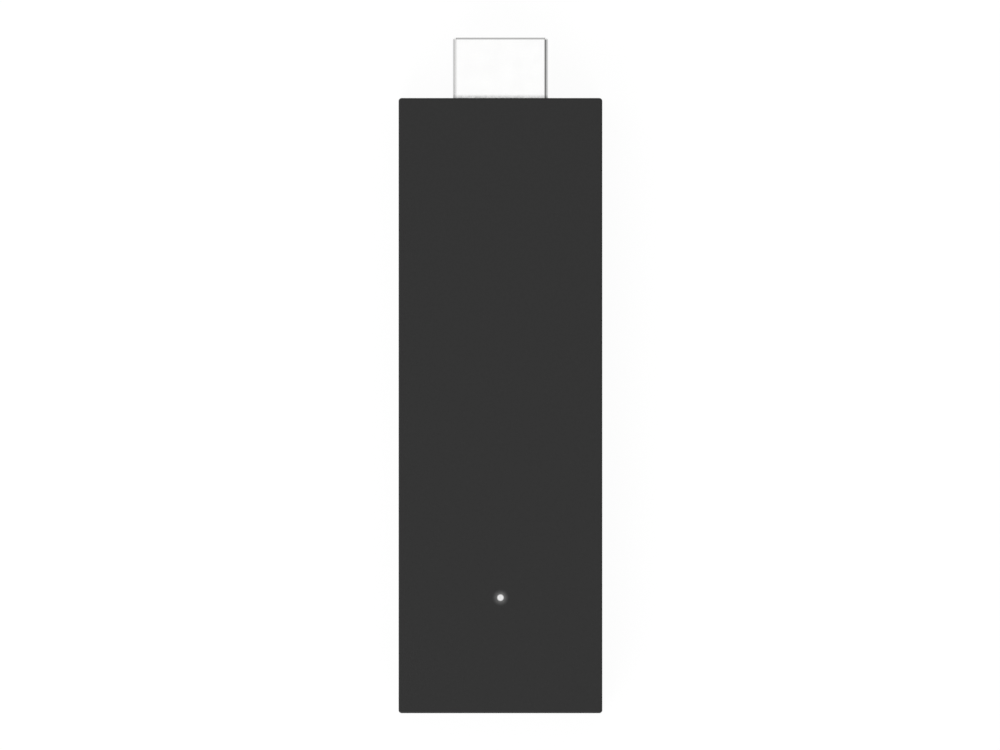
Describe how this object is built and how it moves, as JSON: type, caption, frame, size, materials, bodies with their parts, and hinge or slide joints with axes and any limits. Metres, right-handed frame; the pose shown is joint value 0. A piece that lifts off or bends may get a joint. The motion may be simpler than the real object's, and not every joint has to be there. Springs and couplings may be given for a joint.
{
  "type": "streaming stick",
  "caption": "Slim dark plastic streaming stick with a metal video plug at one end, a power socket at the other, a small status light and a side pairing button.",
  "frame": {"origin": "on the back face, under the middle of the overall length, plug included", "axes": "+Y from the power end to the tip of the video plug, +Z out of the front face, +X across the stick towards the side with the pairing button"},
  "size_m": [0.0298, 0.0988, 0.0124],
  "materials": {
    "case_plastic": "fine matte texture, near-black charcoal",
    "plug_steel": "nickel-plated, satin",
    "gold_contact": "thin gold plating, bright",
    "black_insulator": "satin black",
    "board_laminate": "green solder mask, satin",
    "chip_resin": "fine matte moulding",
    "shield_steel": "tin-plated, satin",
    "thermal_pad": "soft matte blue-grey",
    "cooling_aluminium": "extruded, satin",
    "inductor_ferrite": "sintered dark grey",
    "capacitor_ceramic": "tan ceramic with tinned ends",
    "resistor_film": "black film with tinned ends",
    "crystal_can": "satin lid",
    "screw_steel": "zinc-plated",
    "aerial_steel": "stamped, tin-plated",
    "led_resin": "white, lit",
    "clear_pipe": "clear, lit from behind",
    "black_foam": "open foam, matte",
    "plunger_plastic": "white, satin",
    "dome_steel": "bright spring steel"
  },
  "bodies": {
    "housing": {"front_cover": "case_plastic", "rear_cover": "case_plastic", "video_plug_shell": "plug_steel", "power_socket_shell": "plug_steel", "video_plug_front_contacts": "gold_contact", "video_plug_rear_contacts": "gold_contact", "power_socket_contacts": "gold_contact", "video_plug_insulator": "black_insulator", "power_socket_tongue": "black_insulator", "switch_base": "black_insulator", "main_board": "board_laminate", "processor": "chip_resin", "memory_chips": "chip_resin", "flash_chip": "chip_resin", "power_chip": "chip_resin", "surge_arrays": "chip_resin", "front_shield_fence": "shield_steel", "front_shield_lid": "shield_steel", "rear_shield_fence": "shield_steel", "rear_shield_lid": "shield_steel", "wireless_module": "shield_steel", "switch_bracket": "shield_steel", "processor_pad": "thermal_pad", "heat_sink_pad": "thermal_pad", "rear_pad": "thermal_pad", "heat_sink": "cooling_aluminium", "rear_heat_spreader": "cooling_aluminium", "power_inductors": "inductor_ferrite", "ceramic_capacitors": "capacitor_ceramic", "chip_resistors": "resistor_film", "crystals": "crystal_can", "board_screws": "screw_steel", "left_aerial": "aerial_steel", "right_aerial": "aerial_steel", "status_led": "led_resin", "light_pipe": "clear_pipe", "light_shroud": "black_foam", "switch_dome": "dome_steel"},
    "button": {"pairing_button": "case_plastic", "switch_plunger": "plunger_plastic"}
  },
  "joints": [
    {"name": "button_press", "type": "slide", "parent": "housing", "child": "button", "axis": [-1, 0, 0], "range_m": [0, 0.00025], "stiffness_N_per_m": 6400, "deforming": ["switch_dome"]}
  ]
}
